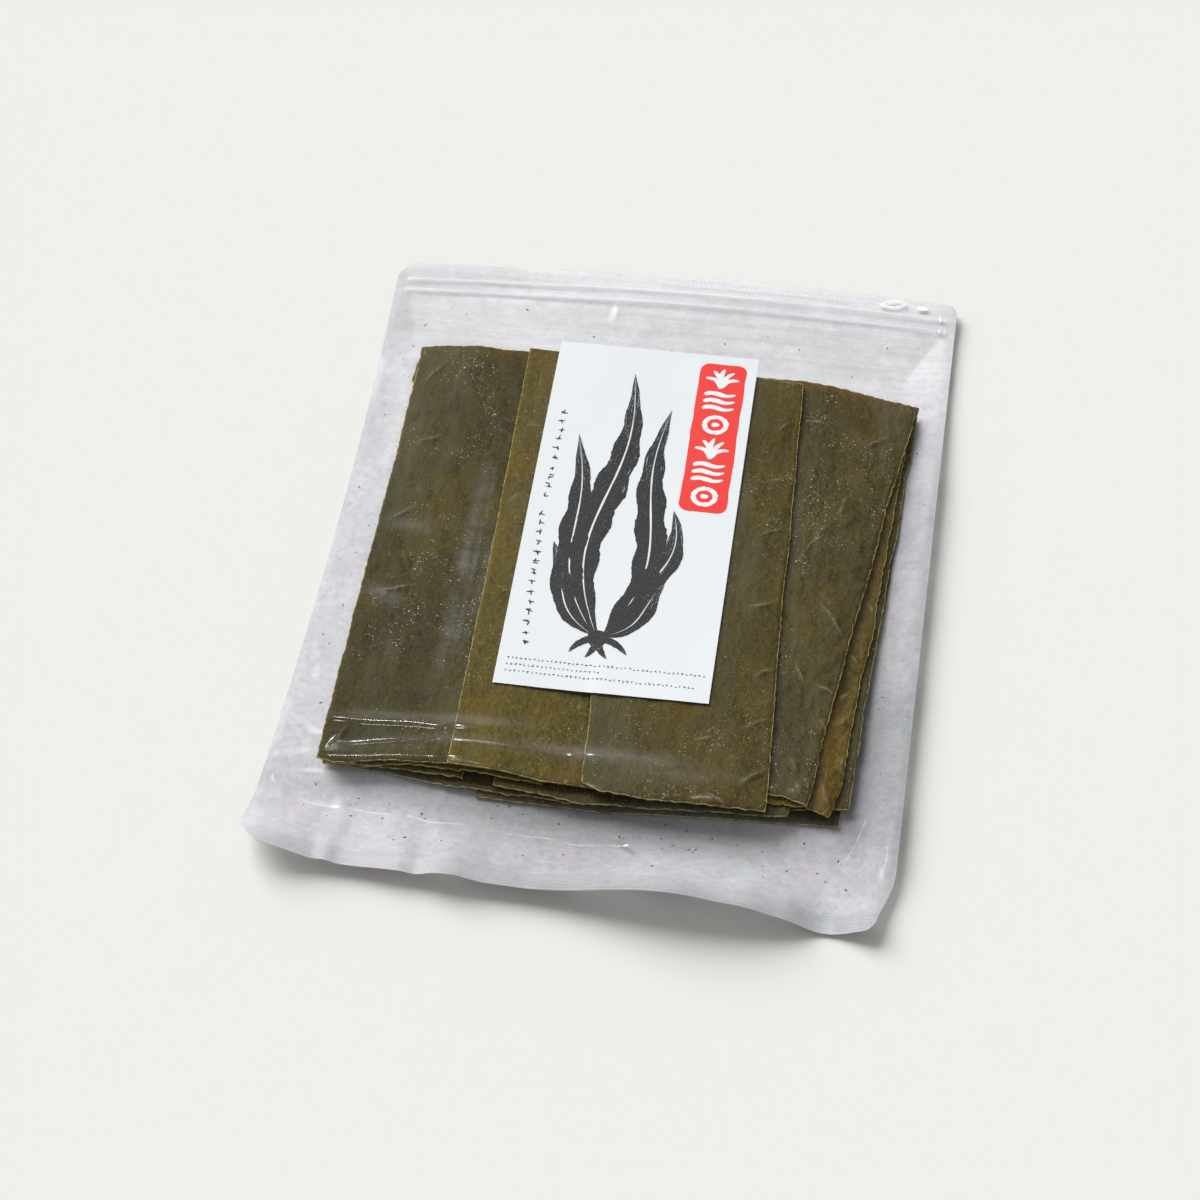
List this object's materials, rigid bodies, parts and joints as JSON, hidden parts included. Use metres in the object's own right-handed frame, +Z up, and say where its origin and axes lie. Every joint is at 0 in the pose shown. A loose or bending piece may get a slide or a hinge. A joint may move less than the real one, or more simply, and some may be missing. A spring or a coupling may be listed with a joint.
{
  "type": "bagged dried kelp sheets",
  "caption": "Clear flat zip pouch lying on its back, filled with a stack of overlapping dried kelp sheets, with a tall white paper label on its front.",
  "frame": {"origin": "middle of the pouch's bounding box, at the flat back face that rests on the table", "axes": "+Z up through the thickness, +Y along the pouch towards the zip end, +X to the right as the label is read"},
  "size_m": [0.2622, 0.3579, 0.0178],
  "materials": {
    "film_and_kelp": "clear glossy film over matt olive-brown dried kelp",
    "label_paper": "smooth white coated paper with black and red print"
  },
  "bodies": {
    "root": {"pouch": "film_and_kelp", "label": "label_paper"}
  },
  "joints": []
}
